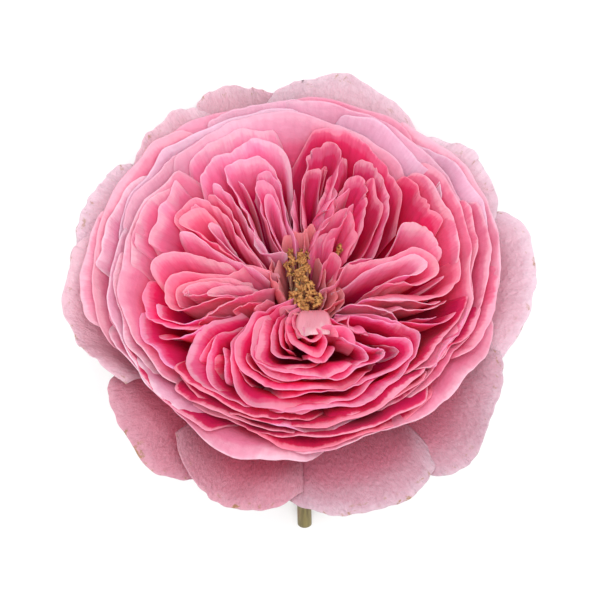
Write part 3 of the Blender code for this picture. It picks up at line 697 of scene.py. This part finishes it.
def built(name, points, faces, looks, place=None, own=None, stands_for=()):
    """One piece of the look from points in the shared frame; it rides on the flower's only body."""
    mesh = bpy.data.meshes.new(name)
    mesh.from_pydata(points.tolist(), [], faces)
    mesh.materials.append(looks)
    mesh.polygons.foreach_set("use_smooth", [True] * len(mesh.polygons))
    for key, kind, field, values in (
            ("place", "FLOAT_COLOR", "color", place), ("own", "FLOAT_VECTOR", "vector", own)):
        if values is not None:
            layer = mesh.attributes.new(key, kind, "POINT")
            layer.data.foreach_set(field, np.ascontiguousarray(values, np.float32).ravel())
    mesh.update()
    made = linked(name, mesh)
    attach(made, "root")
    if stands_for:
        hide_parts(*stands_for)


def plant(name, points, faces, looks, slot, stands_for=(), own=None):
    """A piece that isn't a petal, from head-frame points; own are the points in its own frame."""
    own = points if own is None else own
    built(name, placed(points), faces, looks, own=own * MM, stands_for=stands_for)


def petal(name, line, looks, seed, drop=0.06, claw=0.5, top=1.0, roll=(7.0, 13.0), inset=0.6,
          taper=0.16, near_side=1.3, uneven=0.035, ruffle=0.6, ragged=0.02, frill=0.25, unsteady=1.3,
          foot=0.18, pleat=0.13, across=46, along=28, stands_for=()):
    """A petal on its outline: a patch of the cups, ruffled, that leans out towards its rim.

    claw is where along the outline the claw is, foot how wide it is, and top how high the petal,
    as shares. drop and taper lower its shoulders and corners, and uneven and ragged its rim here
    and there. roll is how long the part that leans over is, and by how many degrees, and unsteady
    how much that changes. inset is how far the petal stands inside its outline below that part,
    and near_side how much more it stands in and leans on the near side. ruffle, frill and pleat
    are the depths of its soft folds, the rim's waves and its fine pleats.
    """
    rng = np.random.default_rng(seed)
    radii, angles = np.hypot(*line.T), np.unwrap(np.arctan2(line[:, 1], line[:, 0]))
    length = np.linalg.norm(np.diff(line, axis=0), axis=1).sum()
    side = outer_side(line)
    u = np.linspace(-1, 1, across + 1)[None, :]
    v = 1 - (1 - np.linspace(0, 1, along + 1)[:, None]) ** 1.5
    # The petal spreads from its claw to its full width at 0.7 of its height.
    spread = foot + (1 - foot) * np.sin(np.minimum(v / 0.7, 1) * np.pi / 2)
    s = claw + spread * np.where(u < 0, u * claw, u * (1 - claw))
    edge = top - drop * np.abs(u) ** 3 - taper * smooth((np.abs(u) - 0.72) / 0.28)
    edge = edge + ragged * waves(rng, u, 4, 3, 11)
    edge = edge + 0.2 * ragged * waves(rng, u, 4, 18, 40)
    edge = edge + uneven * (rng.uniform(-1, 1) * u + 0.8 * waves(rng, u, 2, 1.0, 3.0))
    at, index = np.clip(s, 0, 1) * (len(radii) - 1), np.arange(len(radii))
    phi = np.interp(at, index, angles)
    grid = cup(np.interp(at, index, radii), phi, v * edge)
    near = np.maximum(-np.sin(phi), 0)
    # Soft folds that grow towards the edge.
    arc = s * length
    wave = waves(rng, arc, 4, 0.08, 0.35) + waves(rng, arc + 3 * v, 3, 0.5, 1.0) * 0.35 * v**3
    shift = ruffle * wave * smooth((v - 0.25) / 0.7)
    shift = shift - side * inset * (1 + near_side * near) * smooth((v - 0.1) / 0.5)
    # Fine pleats that run from the claw to the rim, and come and go.
    pleats = np.sin(1.5 * arc + 1.6 * np.sin(0.35 * arc + seed) + 2.0 * v)
    pleats = pleats + 0.6 * np.sin(2.5 * arc - 2.2 * v + 2 * seed)
    pleats = pleats * (0.6 + 0.4 * np.sin(0.23 * arc + 1.7 * seed)) * smooth((v - 0.15) / 0.5)
    shift = shift + pleat * (1 - 0.5 * near) * pleats
    grid = grid + normals(grid) * shift[..., None]
    rim = arc[-1]
    roll_length = roll[0] * (1 + 0.35 * waves(rng, rim, 3, 0.15, 0.5))
    lean = np.clip(0.8 + unsteady * waves(rng, rim, 3, 0.06, 0.25), 0.0, 2.4) * rng.uniform(0.6, 1.4)
    grid = turned_over(grid, roll_length, np.radians(roll[1]) * lean * (1 + near_side * near[-1]), side)
    # A finer frill at the rim.
    fine = frill * waves(rng, arc, 4, 0.6, 1.7) * smooth((v - 0.86) / 0.14)
    grid = flattened(crumpled(grid + normals(grid) * fine[..., None]))
    # Thin at the claw, and half as thick at the rim as in the middle.
    thick = CLAW_THICKNESS + (PETAL_THICKNESS - CLAW_THICKNESS) * smooth(v / 0.4)
    body, faces = shell(grid, thick * (1 - 0.5 * smooth((v - 0.93) / 0.07)))
    steps = np.linalg.norm(np.diff(grid, axis=0), axis=-1)
    depth = np.vstack([np.cumsum(steps[::-1], axis=0)[::-1], np.zeros((1, across + 1))])
    place = np.ones((*depth.shape, 4))
    place[..., 0] = (u + 1) / 2
    place[..., 1] = np.maximum(1 - depth / FADE, 0)
    place[..., 2] = rng.uniform()
    rear = place.reshape(-1, 4)
    front = rear * (1, 1, 1, 0)
    place = np.vstack([rear, front] if side > 0 else [front, rear])
    built(name, placed(body), faces, looks, place=place, stands_for=stands_for)


# ---- petals
def ring_look(radius, angle):
    """Ring petals carry painted light on the far side, where they are palest, and, but for the outer row,
    painted shade on the near side, where they are deepest.
    """
    x, y = polar(1.0, math.radians(angle))
    if y > 0.45:
        return LIT_FAR_RING_LOOK
    if radius > OUTER_ROW:
        return RING_LOOK
    return SHADED_NEAR_RING_LOOK if y < -0.4 else SIDE_RING_LOOK if x > 0.5 else RING_LOOK


def fold_look(line):
    """Folds on the left and right are pale and those on the far right deep in colour; those on the near side
    carry painted shade, deep below a rim with a painted highlight.
    """
    x, y = line.mean(0)
    if y < -13:
        return NEAR_FOLD_SHADE_AND_HIGHLIGHT_LOOK
    if x < -9 or x > 12 and y < 6:
        return PALE_FOLD_LOOK
    return DEEP_FOLD_LOOK if x > 2 and y > 12.5 else FOLD_LOOK


def filler_look(name, line):
    """The tongue, the creases and the petals round the stamens have looks of their own."""
    own = {"close": CLOSE_LOOK, "mouth": CLOSE_LOOK, "crease": FOLD_LOOK, "tongue": TONGUE_LOOK}
    return next((looks for word, looks in own.items() if word in name), fold_look(line))


for k, (name, points, drop, claw) in enumerate(GUARDS):
    # The bottom and lower guards, on the near side, take the dusky look with painted shade.
    looks = DUSKY_SHADED_GUARD_LOOK if "bottom" in name or "lower" in name else GUARD_LOOK
    petal(f"guard_{name}_look", plan_line(points), looks, GUARD_SEED + k, drop, claw,
          roll=(9, 25), near_side=0.0, taper=0.03, uneven=0.0, ruffle=1.3, ragged=0.027, foot=0.36, across=64,
          stands_for=(f"guard_{name}",))

lines = []
rings = [(f"{row}_{i + 1}", radius, first + 360 * i / number, width + RING_LAP)
         for row, radius, first, number, width in RINGS for i in range(number)]
rims = [(f"rim_{i + 1}", *arc) for i, arc in enumerate(RIMS)]
for k, (name, radius, angle, width) in enumerate(rings + rims):
    lines.append(ring_line(radius, angle, width))
    petal(name + "_look", lines[-1], ring_look(radius, angle), RING_SEED + k, drop=0.05,
          roll=(8, 16), inset=0.8, taper=0.26, near_side=0.4, foot=0.3, pleat=0.08, across=56,
          stands_for=(name,) if k < len(rings) else ())

for k, (name, points, drop, claw) in enumerate(FOLDS):
    lines.append(plan_line(points + LONGER.get(name, ())))
    looks = fold_look(lines[-1])
    wild = 2.0 if looks is DEEP_FOLD_LOOK else 1.5 if lines[-1][:, 1].mean() > 0 else 1.0
    petal(f"fold_{name}_look", lines[-1], looks, FOLD_SEED + k, drop, claw, ruffle=0.6 * wild,
          ragged=0.018 * wild, frill=0.3 * wild, pleat=0.11 + 0.05 * wild, across=64,
          stands_for=(f"fold_{name}",))

for k, (name, points, top, length, angle) in enumerate(FILLERS):
    lines.append(plan_line(points))
    wild = 2.2 if "upper_right" in name or "close" in name else 1.0
    petal("filler_" + name, lines[-1], filler_look(name, lines[-1]), FILLER_SEED + k, top=top,
          roll=(length, angle), inset=0.2, near_side=0.4, ruffle=0.6 * wild, frill=0.25 * wild,
          ragged=0.02 * wild, unsteady=0.2 if "tongue" in name else 1.3, across=36 if wild < 2 else 46)

heart = lines[-len(FOLDS) - len(FILLERS):]
near = [line for line in heart if line[:, 1].mean() < CROWD_NEAR]
far = [line for line in heart if line[:, 1].mean() >= CROWD_NEAR]
extra = crowded(lines, near, offset=1.6, room=1.15)
extra += crowded(lines, extra[:], offset=1.7, room=1.3)
extra += crowded(lines, far, offset=2.6, room=1.9)
for k, line in enumerate(extra):
    petal(f"crowd_{k + 1}", line, fold_look(line), CROWD_SEED + k,
          top=0.99 - 0.02 * (k * 7 % 5), inset=0.3, near_side=0.6, across=34, along=24)


# ---- stem, hip, sepals
def stem():
    """The stem, with five faint ridges, and its cut end."""
    rows, sides = 70, 28
    rng = np.random.default_rng(11)
    line, share, turn = stem_line(rows), np.linspace(0, 1, rows), around(sides)
    radii = STEM_RADIUS * (0.985 + stem_swell(share) + 0.015 * waves(rng, share, 4, 20, 60))
    points, faces = tube(line, radii, sides)
    middle = np.repeat(line, sides, axis=0)
    points = middle + (points - middle) * np.tile(1 + 0.012 * np.sin(5 * turn + 1), rows)[:, None]
    own = np.column_stack([polar(2.0, np.tile(turn, rows)), np.repeat(share * STEM_LENGTH, sides)])
    plant("stem_look", points, faces, STEM_LOOK, "stem_green", ("stem",), own)
    along = unit(line[-1] - line[-2])
    cut = [line[-1] + along * (0.02 + 0.06 * k) for k in range(4)]
    cut_radii = radii[-1] * np.array([0.97, 0.96, 0.90, 0.55])
    plant("stem_cut", *tube(cut, cut_radii, sides), CUT_LOOK, "stem_green")


def hip():
    """The hip under the petals, a little uneven, and the dome on it that they stand on."""
    below = [(0, -HIP_DEPTH), (2.3, -HIP_DEPTH), (3.2, -12.8), (5.2, -10.5), (6.6, -7.5), (7.3, -4.5),
             (8.4, -1.8)]
    dome = polar(1.0, np.linspace(0, math.pi / 2, 9)) * (DOME_RADIUS, DOME_HEIGHT)
    points, faces = lathed(evenly(np.vstack([below, dome]), 46), 48)
    grain = 1 + 0.006 * np.sin(points @ (3.1, 1.7, 2.3)) + 0.006 * np.sin(points @ (-1.9, 3.3, 1.1))
    points[:, :2] *= grain[:, None]
    plant("hip_look", points, faces, HIP_LOOK, "hip_green", ("hip",))


def sepal(k):
    """One of the five leafy sepals, which spread from under the petals and hang back."""
    rng = np.random.default_rng(30 + k)
    angle = math.radians(54 + 72 * k)
    v, w = np.linspace(0, 1, 45)[:, None], np.linspace(-1, 1, 17)[None, :]
    half = 3.6 * (1 - v) ** 0.7 * (1 + 1.1 * v) * (0.75 + 0.25 * smooth(v / 0.3)) + 0.12
    # Leafy teeth along the margins, and a raised midrib.
    teeth = 1 + np.abs(w) ** 4 * (0.16 * waves(rng, v * 30, 3, 0.8, 1.6) + 0.10 * np.sin(60 * v))
    across = half * w * teeth
    bow = 0.06 * across**2
    x = 8.6 + 13.8 * v - 4.5 * v**2.5 + bow + 0.25 * waves(rng, v * 8 + 2 * w, 3, 0.5, 1.4) * v
    z = -2.2 - 2.0 * v - 15.5 * v**2 + 0.4 * bow + 0.25 * np.exp(-((w / 0.12) ** 2)) * (1 - v)
    turned = x * math.cos(angle) - across * math.sin(angle), x * math.sin(angle) + across * math.cos(angle)
    body, faces = shell(np.stack([*turned, z], -1), (0.66 - 0.4 * v) * (1 - 0.4 * w**2))
    plant(f"sepal_{k + 1}_look", body, faces, SEPAL_LOOK, "sepal_green", (f"sepal_{k + 1}",))


stem()
hip()
for k in range(5):
    sepal(k)


# ---- stamens and styles
def anther(rng, top):
    """The two lobes of an anther, which curl apart at their ends."""
    heading = unit(rng.normal(size=3) * (1, 1, 0.5))
    beside = unit(np.cross(heading, rng.normal(size=3)))
    size = rng.uniform(0.8, 1.2)
    bend = np.linspace(-1, 1, 7)[:, None]
    lobes = []
    for lobe in (-1, 1):
        apart = 0.30 * lobe + 0.45 * lobe * bend**2 * rng.uniform(0.2, 1)
        path = top + size * (0.85 * bend * heading + apart * beside) + 0.10 * rng.normal(size=(7, 3))
        lobes.append(tube(path, size * np.array([0.10, 0.28, 0.34, 0.36, 0.33, 0.27, 0.10]), 7))
    return lobes


def filament(rng, top):
    """The thread from the dome to an anther."""
    foot = np.array([top[0] * 0.35, top[1] * 0.35, 0])
    foot[:2] += rng.uniform(-1, 1, 2)
    foot[2] = DOME_HEIGHT + 0.4 - 0.05 * (foot[0] ** 2 + foot[1] ** 2)
    rise = np.linspace(0, 1, 9)[:, None]
    path = foot + (top - foot) * rise + np.sin(np.pi * rise) * (*rng.uniform(-0.8, 0.8, 2), 0)
    return tube(path, np.linspace(0.20, 0.13, 9), 6)


def style(rng, k, count):
    """A style with its thicker stigma; they lean a little to the far side."""
    turn, out = 2.4 * k, 1.3 * math.sqrt((k + 0.5) / count)
    foot = np.array([out * math.cos(turn), out * math.sin(turn), DOME_HEIGHT + 0.2])
    tip = np.array([0.5 + 1.5 * out * math.cos(turn + 0.3), 1.2 + 1.6 * out * math.sin(turn + 0.3),
                    18.2 + rng.uniform(-1, 0.8)])
    rise = np.linspace(0, 1, 12)[:, None]
    path = foot + (tip - foot) * rise + 0.3 * np.sin(2 * np.pi * rise + k) * (0.6, 0.5, 0)
    return tube(path, [0.22] * 9 + [0.34, 0.40, 0.18], 7)


# Where the anthers are heaped: middle, half widths and how many.
HEAPS = (
    (-0.5, 6.0, 3.0, 3.8, 34), (1.4, -3.6, 3.4, 3.4, 34), (9.4, 8.6, 1.1, 1.3, 6), (0.4, 1.3, 1.8, 1.8, 9)
)
HEAP_TOP = 21.0
STYLES = 16

rng = np.random.default_rng(5)
anthers, filaments = [], []
for x, y, wide, deep, count in HEAPS:
    for _ in range(count):
        turn, out = rng.uniform(0, 2 * np.pi), math.sqrt(rng.uniform())
        top = np.array([x + wide * out * math.cos(turn), y + deep * out * math.sin(turn),
                        HEAP_TOP - 1.6 * out**2 + rng.uniform(-0.9, 0.9)])
        anthers += anther(rng, top)
        filaments.append(filament(rng, top))
plant("filaments", *merged(filaments), FILAMENT_LOOK, "stamen_gold", ("stamens",))
plant("anthers", *merged(anthers), ANTHER_LOOK, "stamen_gold")
styles = [style(rng, k, STYLES) for k in range(STYLES)]
plant("styles_look", *merged(styles), STYLE_LOOK, "style_green", ("styles",))

# ---- floor, camera, light
FLOOR_SIZE = 6.0  # metres
VIEW_TILT = math.radians(28)  # from the flower's axis towards its near side
VIEW_WIDTH = 139.8601  # what the picture takes in, across the flower
VIEW_DROP = 3.9627  # how far the picture's middle lies under the middle of the heart
LENS, SENSOR = 140.0, 36.0
LAMP_DISTANCE, LAMP_SIZE, LAMP_POWER = 1.2, 0.9, 12.0  # metres and watts

n = Net("floor")
paper = n.node("TexNoise", {"Scale": 900.0, "Detail": 3.0}).outputs[0]
tone = n.mix(paper, (0.94, 0.94, 0.94), (0.97, 0.97, 0.97))
sheet = bpy.data.meshes.new("floor")
corners = [(x * FLOOR_SIZE / 2, y * FLOOR_SIZE / 2, 0) for x, y in ((-1, -1), (1, -1), (1, 1), (-1, 1))]
sheet.from_pydata(corners, [], [(0, 1, 2, 3)])
matt = n.node("BsdfPrincipled", {"Base Color": tone, "Roughness": 0.9}).outputs[0]
sheet.materials.append(n.finish(matt))
linked("floor", sheet)

back = TURN @ np.array([0, -math.sin(VIEW_TILT), math.cos(VIEW_TILT)])
up = TURN @ np.array([0, math.cos(VIEW_TILT), math.sin(VIEW_TILT)])
right = np.cross(up, back)
centre = placed(np.array([0, 0, 20.0])) - up * VIEW_DROP * MM
eye = centre + back * LENS / SENSOR * VIEW_WIDTH * MM
camera = linked("camera", bpy.data.cameras.new("camera"))
camera.data.lens = LENS
camera.data.sensor_width = SENSOR
camera.data.clip_start = 0.01
camera.matrix_world = Matrix([*np.column_stack([right, up, back, eye]).tolist(), [0, 0, 0, 1]])
bpy.context.scene.camera = camera

toward = unit(0.14 * up + 1.0 * back + 0.04 * right)
lamp = linked("key", bpy.data.lights.new("key", "AREA"))
lamp.data.shape = "DISK"
lamp.data.size = LAMP_SIZE
lamp.data.energy = LAMP_POWER
lamp.location = (centre + toward * LAMP_DISTANCE).tolist()
lamp.rotation_euler = Vector(toward.tolist()).to_track_quat("Z", "Y").to_euler()
world = bpy.data.worlds.new("world")
bpy.context.scene.world = world
world.use_nodes = True
world.node_tree.nodes["Background"].inputs["Color"].default_value = (1, 1, 1, 1)
world.node_tree.nodes["Background"].inputs["Strength"].default_value = 0.88
bpy.context.scene.view_settings.view_transform = "Standard"
